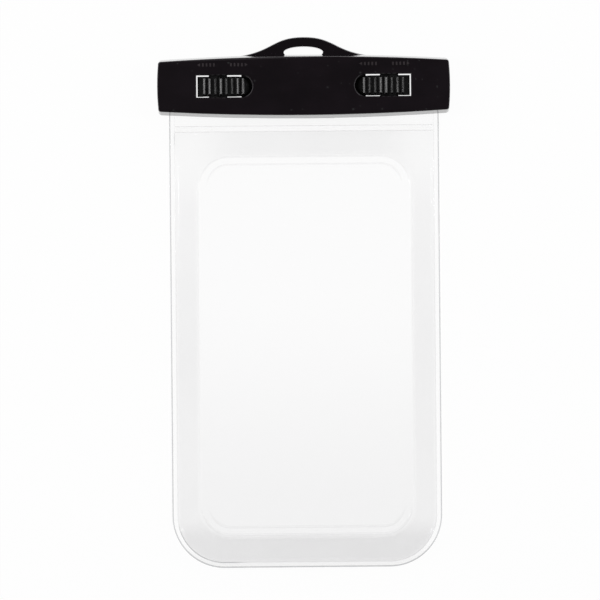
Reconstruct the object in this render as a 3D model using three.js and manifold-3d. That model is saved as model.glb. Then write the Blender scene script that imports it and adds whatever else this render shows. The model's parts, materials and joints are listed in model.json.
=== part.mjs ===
// Waterproof pouch: a clear welded bag held in a black two-part clip with two sliding latches.
// It lies on its back. Millimetres, +Z up out of the front face, +Y towards the carrying loop,
// origin at the centre of the clip's back face.

import * as THREE from 'three';
import { mergeVertices } from 'three/addons/utils/BufferGeometryUtils.js';
import Module from 'manifold-3d';

const wasm = await Module();
wasm.setup();

// Clip covers
const CLIP_WIDTH = 115;
const CLIP_END_HEIGHT = 21.4;
const CLIP_BULGE = 1.8; // how much further the long edges reach at the middle
const CLIP_END_BOW = 0.4;
const CLIP_CORNER_RADIUS = 1.5;
const CLIP_CORNER_STEPS = 4;
const LONG_EDGE_STEPS = 28;
const END_STEPS = 6;
const CLIP_LEAST_RADIUS = 0.5; // of the outlines drawn far in
const COVER_WALL = 1.8;
const BACK_FLOOR = 2;
const BACK_DRAFT = 0.8;
const BACK_CHAMFER = 0.7;
const FRONT_DRAFT = 1; // of the front cover's long walls
const FRONT_END_DRAFT = 0.25; // of its two end walls
const FACE_HEIGHT = 11.5; // front face above the back face
const FACE_EDGE_ROUND = 0.4;
const EDGE_ROUND_STEPS = 3;
const FACE_THICKNESS = 2.1;
const RIM_GAP = 0.3; // between the rims of the two covers

// Clear films
const FILM_PLANE = 5; // height at which the two films are welded together
const FILM_THICKNESS = 0.4;
const SLOPE_SWELL = 0.24; // how far the film's outer skin is drawn out beside a slope
const BAG_SIDE_INSET = 4.55; // from the clip's end to the bag's side
const BAG_BOTTOM = -188.6;
const BAG_CORNER_RADIUS = 20.5;
const BAG_CORNER_STEPS = 10;
const WELD_WIDTH = 2.1;
const MOUTH_ABOVE_EDGE = 7.6; // from the clip's lowest edge up to the films' open top edge
const FILM_MOUTH_CORNER = 1;
const FILM_FLAT_BELOW_CLIP = 0.7; // flat film between the clip's edge and the first slope
const ZIP_RISE = 1.3; // each film's distance from the weld plane beside the zip
const ZIP_SHOULDER = 1.3; // width of the slope up from the weld
const BORDER_WIDTH = 11.9; // from the bag's side to the raised panel
const PANEL_BELOW_CLIP = 15.1;
const PANEL_BOTTOM = -175.4;
const PANEL_RAMP = 1.8;
const PANEL_CORNER_RADIUS = 9.5;

// Press-to-close zip
const ZIP_BELOW_CLIP = 3.95; // from the clip's lowest edge to the zip's middle
const ZIP_WIDTH = 2.4;
const ZIP_BASE = 0.5;
const ZIP_JAW = 0.4;
const ZIP_CLEARANCE = 0.2;
const ZIP_NECK = 0.4;
const ZIP_BULB = 1;
const ZIP_BULB_HEIGHT = 0.6;
const ZIP_BULB_SHOULDER = 0.1;
const ZIP_BULB_TIP = 0.4; // width of its flat end
const ZIP_END_GAP = 0.4;

// Seal between back cover and films
const SEAL_ABOVE_EDGE = 4.5; // from the clip's lowest edge to the seal's middle
const SEAL_WIDTH = 2.6;
const SEAL_HEIGHT = 2.4;
const SEAL_CROWN = 0.5;
const SEAL_SIDE_GAP = 0.3;
const SEAL_END_INSET = 2.7; // from the bag's side to the seal's end
const CLAMP_RIB_WIDTH = 2;
const CLAMP_LAND = 7.3; // how far the solid land under the films reaches in from the edge
const FILM_SIDE_GAP = 0.3;

// Carrying loop
const LOOP_RISE = 8.8; // from the clip's edge at its ends to the loop's top
const LOOP_HALF_WIDTH = 25;
const LOOP_CROWN_FULLNESS = 0.475; // how flat the top of the ogee is, as a share of its half width
const LOOP_FLARE_FULLNESS = 0.465; // how far in its flared feet reach
const LOOP_FLARE_LIFT = 2.15;
const LOOP_BACK = 0.6;
const LOOP_EDGE = 0.7;
const LOOP_HOLE_HALF_WIDTH = 7.7;
const LOOP_HOLE_RISE = 2.8; // from there to the eye's middle
const LOOP_HOLE_UP = 2.2;
const LOOP_HOLE_DOWN = 2.8;
const LOOP_BOSS_WALL = 1.6;
const EYE_STEPS = 36;
const LOOP_CURVE_STEPS = 16;

// Latches
const SLOT_FROM_END = 15.6; // from the clip's end to the slot
const SLOT_LENGTH = 21.9;
const SLOT_HEIGHT = 8.6;
const SLOT_CHAMFER = 0.35;
const SLOT_END_STEPS = 16; // of its half-round inner end
const SLIDER_EDGE_GAP = 0.4;
const SLIDE_TRAVEL = 1.6;
const CAP_FROM_SLOT_END = 2.4;
const CAP_LENGTH = 16.6;
const CAP_HEIGHT = 6.9;
const CAP_PROUD = 0.7;
const CAP_END_CHAMFER = 0.5;
const RIB_COUNT = 8;
const RIB_PITCH = 2.18;
const RIB_WIDTH = 1.3;
const RIB_DEPTH = 1.3;
const RIB_CREST_RADIUS = 0.42;
const RIB_CREST_ARC = Math.PI * 5 / 6; // swept by the round crest between its straight flanks
const RIB_CREST_STEPS = 6;
const BASE_PROUD = 0.4; // the slider's base stands this far into the slot
const TONGUE_SET_BACK = 0.9; // the low tongue's round end stays this far short of the slot's
const WING_FROM_SLOT_END = 4.8;
const WING_LENGTH = 7.1;
const WING_REACH = 1.7; // each wing beyond the slot's edge
const RUNNING_GAP = 0.3;

// Inner plate that keeps the sliders in the front cover
const PLATE_THICKNESS = 1;
const PLATE_BOTTOM = 6.2;
const PLATE_WINDOW_BELOW = 0.2; // window beyond the slot's lower edge
const PLATE_WINDOW_ABOVE = 0.7; // window beyond the slot's upper edge
const WINDOW_BEYOND_SLOT = 0.7; // window beyond the slot's outer end
const WINDOW_LENGTH = 18.2;
const STAKE_RADIUS = 1.1;
const STAKE_SIDES = 20;
const STAKE_HEAD_RADIUS = 1.9;
const STAKE_HEAD = 0.4;
const STANDOFF_RADIUS = 2.3;
const STAKE_FROM_EDGE = 2.4; // stake's centre from the plate's long edges
const STAKE_FROM_SLOT = 6; // stake's centre from either end of a slot

// Catch on the back cover, hooked by the slider's toe
const CATCH_WIDTH = 4.4;
const CATCH_THICKNESS = 2.6;
const CATCH_HOOK = 1.6;
const CATCH_HEAD = 1.2;
const CATCH_LEAD_IN = 0.4;
const TOE_HEIGHT = 1;
const LEG_THICKNESS = 1.7;
const POCKET_ROOF = 0.6; // room above the catch

// Worked out from the sizes above
const HALF_END = CLIP_END_HEIGHT / 2;
const BACK_RIM = FILM_PLANE - RIM_GAP / 2;
const FRONT_RIM = FILM_PLANE + RIM_GAP / 2;
const CLIP_LOWEST = -(HALF_END + CLIP_BULGE);
const LOOP_TOP = HALF_END + LOOP_RISE;
const LOOP_HOLE_CENTRE = HALF_END + LOOP_HOLE_RISE;
const MOUTH_Y = CLIP_LOWEST + MOUTH_ABOVE_EDGE;
const CLAMP_LAND_TOP = CLIP_LOWEST + CLAMP_LAND;
const SEAL_Y = CLIP_LOWEST + SEAL_ABOVE_EDGE;
const ZIP_Y = CLIP_LOWEST - ZIP_BELOW_CLIP;
const PANEL_TOP = CLIP_LOWEST - PANEL_BELOW_CLIP;
const FACE_UNDERSIDE = FACE_HEIGHT - FACE_THICKNESS;
const FILM_TOP = FILM_PLANE + FILM_THICKNESS;
const FILM_BOTTOM = FILM_PLANE - FILM_THICKNESS;
const BAG_WIDTH = CLIP_WIDTH - 2 * BAG_SIDE_INSET;
const PANEL_HALF_WIDTH = BAG_WIDTH / 2 - BORDER_WIDTH;
const SEAL_HALF_LENGTH = BAG_WIDTH / 2 - SEAL_END_INSET;
const FILM_SLOT_HALF = BAG_WIDTH / 2 + FILM_SIDE_GAP;
const PANEL_RISE = FILM_PLANE - FILM_THICKNESS; // the back panel rests level with the clip
const PLATE_TOP = PLATE_BOTTOM + PLATE_THICKNESS;
const SLIDER_BOTTOM = PLATE_TOP + RUNNING_GAP;
const WING_TOP = FACE_UNDERSIDE - RUNNING_GAP;
const BASE_TOP = FACE_UNDERSIDE + BASE_PROUD;
const CAP_TOP = FACE_HEIGHT + CAP_PROUD;
const SLOT_HALF = SLOT_HEIGHT / 2;
const SLOT_OUTER = CLIP_WIDTH / 2 - SLOT_FROM_END;
const SLOT_INNER = SLOT_OUTER - SLOT_LENGTH;
const CAP_OUTER = SLOT_OUTER - CAP_FROM_SLOT_END;
const CAP_INNER = CAP_OUTER - CAP_LENGTH;
const WING_OUTER = SLOT_OUTER - WING_FROM_SLOT_END;
const WING_INNER = WING_OUTER - WING_LENGTH;
const WINDOW_OUTER = SLOT_OUTER + WINDOW_BEYOND_SLOT;
const WINDOW_INNER = WINDOW_OUTER - WINDOW_LENGTH;
const PLATE_INSET = COVER_WALL + FRONT_DRAFT + RUNNING_GAP;
const PLATE_LOWER_EDGE = SEAL_Y + CLAMP_RIB_WIDTH / 2 + RUNNING_GAP;
const CUT = 1; // how far a cutting solid runs past the surface it opens

const BLACK = { color: 0x14110f, roughness: 0.32, metalness: 0 };
const CLEAR = { color: 0xf2f4f4, roughness: 0.15, metalness: 0, transparent: true, opacity: 0.3 };

// Turns a closed geometry into a solid that can be joined and cut.
function solid(geometry) {
  const bare = new THREE.BufferGeometry();
  bare.setAttribute('position', geometry.getAttribute('position'));
  if (geometry.index) bare.setIndex(geometry.index);
  const merged = mergeVertices(bare, 1e-5);
  return new wasm.Manifold(new wasm.Mesh({
    numProp: 3,
    vertProperties: new Float32Array(merged.getAttribute('position').array),
    triVerts: new Uint32Array(merged.index.array),
  }));
}

function join(...solids) {
  return solids.reduce((whole, next) => whole.add(next));
}

function cut(body, ...tools) {
  return tools.reduce((rest, tool) => rest.subtract(tool), body);
}

function box(x, y, z) {
  const [width, depth, height] = [x, y, z].map(([low, high]) => Math.abs(high - low));
  const geometry = new THREE.BoxGeometry(width, depth, height);
  geometry.translate((x[0] + x[1]) / 2, (y[0] + y[1]) / 2, (z[0] + z[1]) / 2);
  return solid(geometry);
}

function disc(x, y, radius, [low, high]) {
  const geometry = new THREE.CylinderGeometry(radius, radius, high - low, STAKE_SIDES);
  geometry.rotateX(Math.PI / 2);
  geometry.translate(x, y, (low + high) / 2);
  return solid(geometry);
}

// A profile drawn in Y and Z, run along X.
function runAlongX(shape, [low, high]) {
  const geometry = new THREE.ExtrudeGeometry(shape, { depth: high - low, bevelEnabled: false });
  geometry.applyMatrix4(new THREE.Matrix4().makeBasis(
    new THREE.Vector3(0, 1, 0), new THREE.Vector3(0, 0, 1), new THREE.Vector3(1, 0, 0)));
  geometry.translate(low, 0, 0);
  return solid(geometry);
}

// A profile drawn in X and Z, run along Y.
function runAlongY(shape, [low, high]) {
  const geometry = new THREE.ExtrudeGeometry(shape, { depth: high - low, bevelEnabled: false });
  geometry.applyMatrix4(new THREE.Matrix4().makeBasis(
    new THREE.Vector3(1, 0, 0), new THREE.Vector3(0, 0, 1), new THREE.Vector3(0, -1, 0)));
  geometry.translate(0, high, 0);
  return solid(geometry);
}

function polygon(points) {
  return new THREE.Shape(points.map(([x, y]) => new THREE.Vector2(x, y)));
}

// Skins a closed body through loops of equal point count, capped at the first and the last.
function loft(sections) {
  const count = sections[0].points.length;
  const positions = sections.flatMap(({ points, z }) => points.flatMap((p) => [p.x, p.y, z]));
  const faces = [];
  for (let s = 0; s + 1 < sections.length; s += 1) {
    for (let i = 0; i < count; i += 1) {
      const a = s * count + i;
      const b = s * count + ((i + 1) % count);
      faces.push(a, b, b + count, a, b + count, a + count);
    }
  }
  const last = (sections.length - 1) * count;
  for (const [a, b, c] of THREE.ShapeUtils.triangulateShape(sections[0].points, [])) {
    faces.push(c, b, a);
  }
  for (const [a, b, c] of THREE.ShapeUtils.triangulateShape(sections.at(-1).points, [])) {
    faces.push(last + a, last + b, last + c);
  }
  const geometry = new THREE.BufferGeometry();
  geometry.setAttribute('position', new THREE.Float32BufferAttribute(positions, 3));
  geometry.setIndex(faces);
  return geometry;
}

function corner(centreX, centreY, radius, quarter, steps) {
  return Array.from({ length: steps + 1 }, (_, i) => {
    const angle = (quarter + i / steps) * Math.PI / 2;
    return new THREE.Vector2(centreX + radius * Math.cos(angle), centreY + radius * Math.sin(angle));
  });
}

// Height of the clip's bowed long edge, drawn in by inset.
function longEdge(x, inset) {
  return HALF_END - inset + CLIP_BULGE * (1 - (x / (CLIP_WIDTH / 2)) ** 2);
}

// The clip's outline drawn in by inset, and at its ends by endInset: bowed long edges, nearly
// straight ends, rounded corners.
function clipOutline(inset, endInset = inset) {
  const width = CLIP_WIDTH / 2 - CLIP_END_BOW - endInset;
  const radius = Math.max(CLIP_CORNER_RADIUS - inset / 2, CLIP_LEAST_RADIUS);
  const edge = (x) => longEdge(x, inset);
  const cornerX = width - radius;
  const cornerY = edge(cornerX) - radius;
  const endX = (y) => width + CLIP_END_BOW * (1 - (y / cornerY) ** 2);
  const between = (low, high, steps) => Array.from(
    { length: steps - 1 }, (_, i) => low + ((high - low) * (i + 1)) / steps);
  return [
    ...between(-cornerY, cornerY, END_STEPS).map((y) => new THREE.Vector2(endX(y), y)),
    ...corner(cornerX, cornerY, radius, 0, CLIP_CORNER_STEPS),
    ...between(cornerX, -cornerX, LONG_EDGE_STEPS).map((x) => new THREE.Vector2(x, edge(x))),
    ...corner(-cornerX, cornerY, radius, 1, CLIP_CORNER_STEPS),
    ...between(cornerY, -cornerY, END_STEPS).map((y) => new THREE.Vector2(-endX(y), y)),
    ...corner(-cornerX, -cornerY, radius, 2, CLIP_CORNER_STEPS),
    ...between(-cornerX, cornerX, LONG_EDGE_STEPS).map((x) => new THREE.Vector2(x, -edge(x))),
    ...corner(cornerX, -cornerY, radius, 3, CLIP_CORNER_STEPS),
  ];
}

function clipLoft(levels) {
  return solid(loft(levels.map(
    ([z, inset, endInset]) => ({ points: clipOutline(inset, endInset), z }))));
}

// One latch opening in the front face: square outer end, half-round inner end. The slider's own
// outline is the same one, drawn in, with its round end set back by the slider's travel.
function slotOutline(side, grow, setBack = 0) {
  const half = SLOT_HALF + grow;
  const outer = SLOT_OUTER + grow;
  const centre = SLOT_INNER + SLOT_HALF + setBack;
  const points = [new THREE.Vector2(outer, -half), new THREE.Vector2(outer, half)];
  for (let i = 0; i <= SLOT_END_STEPS; i += 1) {
    const angle = Math.PI / 2 + (Math.PI * i) / SLOT_END_STEPS;
    points.push(new THREE.Vector2(centre + half * Math.cos(angle), half * Math.sin(angle)));
  }
  if (side > 0) return points;
  return points.map((p) => new THREE.Vector2(-p.x, p.y)).reverse();
}

function slot(side) {
  return solid(loft([
    { points: slotOutline(side, 0), z: FACE_UNDERSIDE - CUT },
    { points: slotOutline(side, 0), z: FACE_HEIGHT - SLOT_CHAMFER },
    { points: slotOutline(side, SLOT_CHAMFER), z: FACE_HEIGHT },
    { points: slotOutline(side, SLOT_CHAMFER), z: FACE_HEIGHT + CUT },
  ]));
}

const SIDES = { left: -1, right: 1 };
const alongSide = (side, inner, outer) => [side * inner, side * outer];
const catchInner = (WING_INNER + WING_OUTER) / 2 - CATCH_THICKNESS / 2;
const catchOuter = catchInner + CATCH_THICKNESS;
const hookTip = catchOuter + CATCH_HOOK;
const toeTop = SLIDER_BOTTOM - 2 * RUNNING_GAP;
const hookUnderside = toeTop + RUNNING_GAP;
const hookTop = hookUnderside + CATCH_HEAD;

// The ogee hump of the loop, drawn from the clip's middle line so that it grows out of the cover.
function loopShape() {
  const shape = new THREE.Shape();
  const root = longEdge(LOOP_HALF_WIDTH, 0);
  const crownControl = LOOP_HALF_WIDTH * LOOP_CROWN_FULLNESS;
  const flareControl = LOOP_HALF_WIDTH * LOOP_FLARE_FULLNESS;
  const flareTop = root + LOOP_FLARE_LIFT;
  shape.moveTo(-LOOP_HALF_WIDTH, HALF_END - COVER_WALL);
  shape.lineTo(LOOP_HALF_WIDTH, HALF_END - COVER_WALL);
  shape.lineTo(LOOP_HALF_WIDTH, root);
  shape.bezierCurveTo(flareControl, flareTop, crownControl, LOOP_TOP, 0, LOOP_TOP);
  shape.bezierCurveTo(-crownControl, LOOP_TOP, -flareControl, flareTop, -LOOP_HALF_WIDTH, root);
  shape.closePath();
  return shape;
}

// The loop's eye: a flat ellipse above its widest line and a deeper one below it.
function loopHoleOutline() {
  return Array.from({ length: EYE_STEPS }, (_, i) => {
    const angle = (i / EYE_STEPS) * Math.PI * 2;
    const reach = Math.sin(angle) > 0 ? LOOP_HOLE_UP : LOOP_HOLE_DOWN;
    return new THREE.Vector2(
      LOOP_HOLE_HALF_WIDTH * Math.cos(angle), LOOP_HOLE_CENTRE + reach * Math.sin(angle));
  });
}

function loopHump() {
  const geometry = new THREE.ExtrudeGeometry(loopShape(), {
    depth: BACK_RIM - LOOP_BACK - 2 * LOOP_EDGE,
    bevelThickness: LOOP_EDGE,
    bevelSize: LOOP_EDGE,
    bevelOffset: -LOOP_EDGE,
    bevelSegments: 2,
    curveSegments: LOOP_CURVE_STEPS,
  });
  geometry.translate(0, 0, LOOP_BACK + LOOP_EDGE);
  return solid(geometry);
}

// The hook that stands on the bridge between the two windows of each latch.
function catchHook(side) {
  const half = CATCH_WIDTH / 2;
  const profile = [
    [side * catchInner, BACK_FLOOR / 2],
    [side * catchOuter, BACK_FLOOR / 2],
    [side * catchOuter, hookUnderside],
    [side * hookTip, hookUnderside],
    [side * hookTip, hookTop - CATCH_LEAD_IN],
    [side * (hookTip - CATCH_LEAD_IN), hookTop],
    [side * catchInner, hookTop],
  ];
  return runAlongY(polygon(profile), [-half, half]);
}

function windows(side, z) {
  const y = [-SLOT_HALF - PLATE_WINDOW_BELOW, SLOT_HALF + PLATE_WINDOW_ABOVE + RUNNING_GAP];
  return join(
    box(alongSide(side, WINDOW_INNER, WING_INNER), y, z),
    box(alongSide(side, WING_OUTER, WINDOW_OUTER), y, z));
}

function backCover() {
  const shell = clipLoft([
    [0, BACK_DRAFT + BACK_CHAMFER],
    [BACK_CHAMFER, BACK_DRAFT],
    [BACK_RIM, 0],
  ]);
  const inside = clipLoft([[BACK_FLOOR, COVER_WALL + BACK_DRAFT / 2], [BACK_RIM + CUT, COVER_WALL]]);
  const land = box([-CLIP_WIDTH, CLIP_WIDTH], [CLIP_LOWEST - CUT, CLAMP_LAND_TOP], [0, FACE_HEIGHT]);
  const holeFloor = LOOP_HOLE_CENTRE - LOOP_HOLE_DOWN;
  const bossHalf = LOOP_HOLE_HALF_WIDTH + LOOP_BOSS_WALL;
  const boss = box([-bossHalf, bossHalf], [holeFloor - LOOP_BOSS_WALL, LOOP_TOP], [0, FACE_HEIGHT]);
  const eye = solid(loft([
    { points: loopHoleOutline(), z: -CUT },
    { points: loopHoleOutline(), z: BACK_RIM + CUT },
  ]));
  const filmSlot = box(
    [-FILM_SLOT_HALF, FILM_SLOT_HALF],
    [CLIP_LOWEST - CUT, CLAMP_LAND_TOP + CUT],
    [FILM_BOTTOM, FILM_PLANE + CUT]);
  const sealHalf = SEAL_WIDTH / 2 + SEAL_SIDE_GAP;
  const sealRun = SEAL_HALF_LENGTH + SEAL_SIDE_GAP;
  const sealGroove = box(
    [-sealRun, sealRun], [SEAL_Y - sealHalf, SEAL_Y + sealHalf], [FILM_BOTTOM - SEAL_HEIGHT, FILM_PLANE]);
  const hollow = cut(inside, land, boss);
  const floorWindows = Object.values(SIDES).map((side) => windows(side, [-CUT, BACK_FLOOR + CUT]));
  const hooks = Object.values(SIDES).map(catchHook);
  return join(cut(join(shell, loopHump()), hollow, eye, filmSlot, sealGroove, ...floorWindows), ...hooks);
}

function sealGasket() {
  const half = SEAL_WIDTH / 2;
  const shape = new THREE.Shape();
  shape.moveTo(SEAL_Y - half, FILM_BOTTOM - SEAL_HEIGHT);
  shape.lineTo(SEAL_Y + half, FILM_BOTTOM - SEAL_HEIGHT);
  shape.lineTo(SEAL_Y + half, FILM_BOTTOM - SEAL_CROWN);
  shape.quadraticCurveTo(SEAL_Y + half, FILM_BOTTOM, SEAL_Y, FILM_BOTTOM);
  shape.quadraticCurveTo(SEAL_Y - half, FILM_BOTTOM, SEAL_Y - half, FILM_BOTTOM - SEAL_CROWN);
  shape.closePath();
  return runAlongX(shape, [-SEAL_HALF_LENGTH, SEAL_HALF_LENGTH]);
}

function frontCover() {
  const roundedEdge = Array.from({ length: EDGE_ROUND_STEPS + 1 }, (_, i) => {
    const angle = (i / EDGE_ROUND_STEPS) * Math.PI / 2;
    const inset = FACE_EDGE_ROUND * (1 - Math.cos(angle));
    const z = FACE_HEIGHT - FACE_EDGE_ROUND * (1 - Math.sin(angle));
    return [z, FRONT_DRAFT + inset, FRONT_END_DRAFT + inset];
  });
  const shell = clipLoft([[FRONT_RIM, 0], ...roundedEdge]);
  const hollow = clipLoft([
    [FRONT_RIM - CUT, COVER_WALL],
    [FACE_UNDERSIDE, COVER_WALL + FRONT_DRAFT],
  ]);
  const rib = box(
    [-SEAL_HALF_LENGTH, SEAL_HALF_LENGTH],
    [SEAL_Y - CLAMP_RIB_WIDTH / 2, SEAL_Y + CLAMP_RIB_WIDTH / 2],
    [FILM_TOP, FACE_UNDERSIDE + CUT]);
  const filmSlot = box(
    [-FILM_SLOT_HALF, FILM_SLOT_HALF], [CLIP_LOWEST - CUT, CLAMP_LAND_TOP + CUT], [0, FILM_TOP]);
  const stakes = stakePlaces().map(([x, y]) => join(
    disc(x, y, STANDOFF_RADIUS, [PLATE_TOP, FACE_UNDERSIDE + CUT]),
    disc(x, y, STAKE_RADIUS, [PLATE_BOTTOM - STAKE_HEAD, FACE_UNDERSIDE]),
    disc(x, y, STAKE_HEAD_RADIUS, [PLATE_BOTTOM - STAKE_HEAD, PLATE_BOTTOM])));
  const slots = Object.values(SIDES).map(slot);
  return cut(join(cut(shell, hollow), rib, ...stakes), filmSlot, ...slots);
}

// Where the six stakes that carry the inner plate stand: one beyond each slot and four between them.
function stakePlaces() {
  const beyond = SLOT_OUTER + STAKE_FROM_SLOT;
  const between = SLOT_INNER - STAKE_FROM_SLOT;
  const upper = longEdge(between, PLATE_INSET) - STAKE_FROM_EDGE;
  const lower = PLATE_LOWER_EDGE + STAKE_FROM_EDGE;
  return Object.values(SIDES).flatMap((side) => [
    [side * beyond, 0], [side * between, upper], [side * between, lower]]);
}

function frontInnerPlate() {
  const blank = clipLoft([[PLATE_BOTTOM, PLATE_INSET], [PLATE_TOP, PLATE_INSET]]);
  const z = [PLATE_BOTTOM - CUT, PLATE_TOP + CUT];
  const lowerPart = box([-CLIP_WIDTH, CLIP_WIDTH], [CLIP_LOWEST - CUT, PLATE_LOWER_EDGE], z);
  const y = [-SLOT_HALF - PLATE_WINDOW_BELOW, SLOT_HALF + PLATE_WINDOW_ABOVE];
  const openings = Object.values(SIDES).map(
    (side) => box(alongSide(side, WINDOW_INNER, WINDOW_OUTER), y, z));
  const stakeHoles = stakePlaces().map(
    ([x, stakeY]) => disc(x, stakeY, STAKE_RADIUS + RUNNING_GAP, z));
  return cut(blank, lowerPart, ...openings, ...stakeHoles);
}

// Ribbed thumb pad on top of the slider.
function ribbedCap(side) {
  const crest = CAP_TOP;
  const valley = CAP_TOP - RIB_DEPTH;
  const middle = (CAP_INNER + CAP_OUTER) / 2;
  const points = [[CAP_INNER, BASE_TOP - CUT], [CAP_INNER, valley]];
  for (let i = 0; i < RIB_COUNT; i += 1) {
    const centre = middle + (i - (RIB_COUNT - 1) / 2) * RIB_PITCH;
    points.push([centre - RIB_WIDTH / 2, valley]);
    for (let step = 0; step <= RIB_CREST_STEPS; step += 1) {
      const angle = Math.PI / 2 + RIB_CREST_ARC * (0.5 - step / RIB_CREST_STEPS);
      points.push([
        centre + RIB_CREST_RADIUS * Math.cos(angle),
        crest - RIB_CREST_RADIUS * (1 - Math.sin(angle))]);
    }
    points.push([centre + RIB_WIDTH / 2, valley]);
  }
  points.push([CAP_OUTER, valley], [CAP_OUTER, BASE_TOP - CUT]);
  const half = CAP_HEIGHT / 2;
  const ribs = runAlongY(polygon(points.map(([u, z]) => [side * u, z])), [-half, half]);
  const rounded = runAlongX(polygon([
    [-half, BASE_TOP - 2 * CUT],
    [half, BASE_TOP - 2 * CUT],
    [half, crest - 2 * CAP_END_CHAMFER],
    [half - CAP_END_CHAMFER, crest],
    [-half + CAP_END_CHAMFER, crest],
    [-half, crest - 2 * CAP_END_CHAMFER],
  ]), [-CLIP_WIDTH / 2, CLIP_WIDTH / 2]);
  return ribs.intersect(rounded);
}

// The slider: a ribbed cap on a base that stands in the slot, a low tongue with a round end that
// runs under the face, two wings that keep it in, and a toe that goes under the catch.
function latch(side) {
  const wingHalf = SLOT_HALF + WING_REACH;
  const legInner = hookTip + SLIDE_TRAVEL + RUNNING_GAP;
  const catchHalf = CATCH_WIDTH / 2;
  const inSlot = (setBack, low, high) => {
    const points = slotOutline(side, -SLIDER_EDGE_GAP, setBack);
    return solid(loft([{ points, z: low }, { points, z: high }]));
  };
  const base = inSlot(SLIDE_TRAVEL, SLIDER_BOTTOM, BASE_TOP);
  const tongue = inSlot(TONGUE_SET_BACK, SLIDER_BOTTOM, WING_TOP);
  const cap = ribbedCap(side).intersect(inSlot(SLIDE_TRAVEL, SLIDER_BOTTOM, CAP_TOP + CUT));
  const wings = box(
    alongSide(side, WING_INNER, WING_OUTER), [-wingHalf, wingHalf], [SLIDER_BOTTOM, WING_TOP]);
  const pocket = box(
    alongSide(side, catchInner - RUNNING_GAP, legInner),
    [-catchHalf - SLIDER_EDGE_GAP, catchHalf + SLIDER_EDGE_GAP],
    [SLIDER_BOTTOM - CUT, hookTop + POCKET_ROOF]);
  const foot = runAlongY(polygon([
    [side * (hookTip + RUNNING_GAP), toeTop - TOE_HEIGHT],
    [side * (legInner + LEG_THICKNESS), toeTop - TOE_HEIGHT],
    [side * (legInner + LEG_THICKNESS), SLIDER_BOTTOM + CUT],
    [side * legInner, SLIDER_BOTTOM + CUT],
    [side * legInner, toeTop],
    [side * (hookTip + RUNNING_GAP), toeTop],
  ]), [-catchHalf, catchHalf]);
  return join(cut(join(base, tongue, cap, wings), pocket), foot);
}

// A closed rounded loop of the bag, with its own corner radius at the top and the bottom.
function bagLoop({ halfWidth, top, bottom, topRadius, bottomRadius }) {
  const right = halfWidth - topRadius;
  const lowerRight = halfWidth - bottomRadius;
  return [
    ...corner(right, top - topRadius, topRadius, 0, BAG_CORNER_STEPS),
    ...corner(-right, top - topRadius, topRadius, 1, BAG_CORNER_STEPS),
    ...corner(-lowerRight, bottom + bottomRadius, bottomRadius, 2, BAG_CORNER_STEPS),
    ...corner(lowerRight, bottom + bottomRadius, bottomRadius, 3, BAG_CORNER_STEPS),
  ];
}

// The film's stations from its rim to its raised panel: outline, and height off the weld plane.
// swell widens the slopes of the outer skin, so that the film keeps its thickness there.
function filmStations(swell) {
  const half = BAG_WIDTH / 2;
  const flatEnd = CLIP_LOWEST - FILM_FLAT_BELOW_CLIP;
  const inset = (by, top) => ({
    halfWidth: half - by,
    top,
    bottom: BAG_BOTTOM + by,
    topRadius: FILM_MOUTH_CORNER,
    bottomRadius: BAG_CORNER_RADIUS - by,
  });
  const panel = (by) => ({
    halfWidth: PANEL_HALF_WIDTH + by,
    top: PANEL_TOP + by,
    bottom: PANEL_BOTTOM - by,
    topRadius: PANEL_CORNER_RADIUS + by,
    bottomRadius: PANEL_CORNER_RADIUS + by,
  });
  return [
    { loop: inset(0, MOUTH_Y), rise: 0 },
    { loop: inset(WELD_WIDTH - swell, flatEnd + swell), rise: 0 },
    { loop: inset(WELD_WIDTH + ZIP_SHOULDER - swell, flatEnd - ZIP_SHOULDER + swell), rise: ZIP_RISE },
    { loop: panel(PANEL_RAMP + swell), rise: ZIP_RISE },
    { loop: panel(swell), rise: PANEL_RISE },
  ];
}

// side 1 is the front film, which rises off the weld plane, and -1 the back film.
function bagFilm(side) {
  const skin = (swell, offset) => filmStations(swell).map(({ loop, rise }) => ({
    points: bagLoop(loop), z: FILM_PLANE + side * (rise + offset),
  }));
  const inner = skin(0, 0);
  const outer = skin(SLOPE_SWELL, FILM_THICKNESS);
  const [lower, upper] = side > 0 ? [inner, outer] : [outer, inner];
  return loft([...lower.reverse(), ...upper]);
}

const zipHalfLength = BAG_WIDTH / 2 - WELD_WIDTH - ZIP_SHOULDER - ZIP_END_GAP;

// The ribbed half of the zip hangs from the front film.
function zipRibStrip() {
  const seat = FILM_PLANE + ZIP_RISE;
  const root = seat - ZIP_BASE;
  const tip = FILM_PLANE - ZIP_RISE + ZIP_BASE + ZIP_CLEARANCE;
  const bulbTop = tip + ZIP_BULB_HEIGHT;
  const half = ZIP_WIDTH / 2;
  return runAlongX(polygon([
    [ZIP_Y - half, seat],
    [ZIP_Y - half, root],
    [ZIP_Y - ZIP_NECK / 2, root],
    [ZIP_Y - ZIP_NECK / 2, bulbTop],
    [ZIP_Y - ZIP_BULB / 2, bulbTop - ZIP_BULB_SHOULDER],
    [ZIP_Y - ZIP_BULB_TIP / 2, tip],
    [ZIP_Y + ZIP_BULB_TIP / 2, tip],
    [ZIP_Y + ZIP_BULB / 2, bulbTop - ZIP_BULB_SHOULDER],
    [ZIP_Y + ZIP_NECK / 2, bulbTop],
    [ZIP_Y + ZIP_NECK / 2, root],
    [ZIP_Y + half, root],
    [ZIP_Y + half, seat],
  ]), [-zipHalfLength, zipHalfLength]);
}

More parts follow.
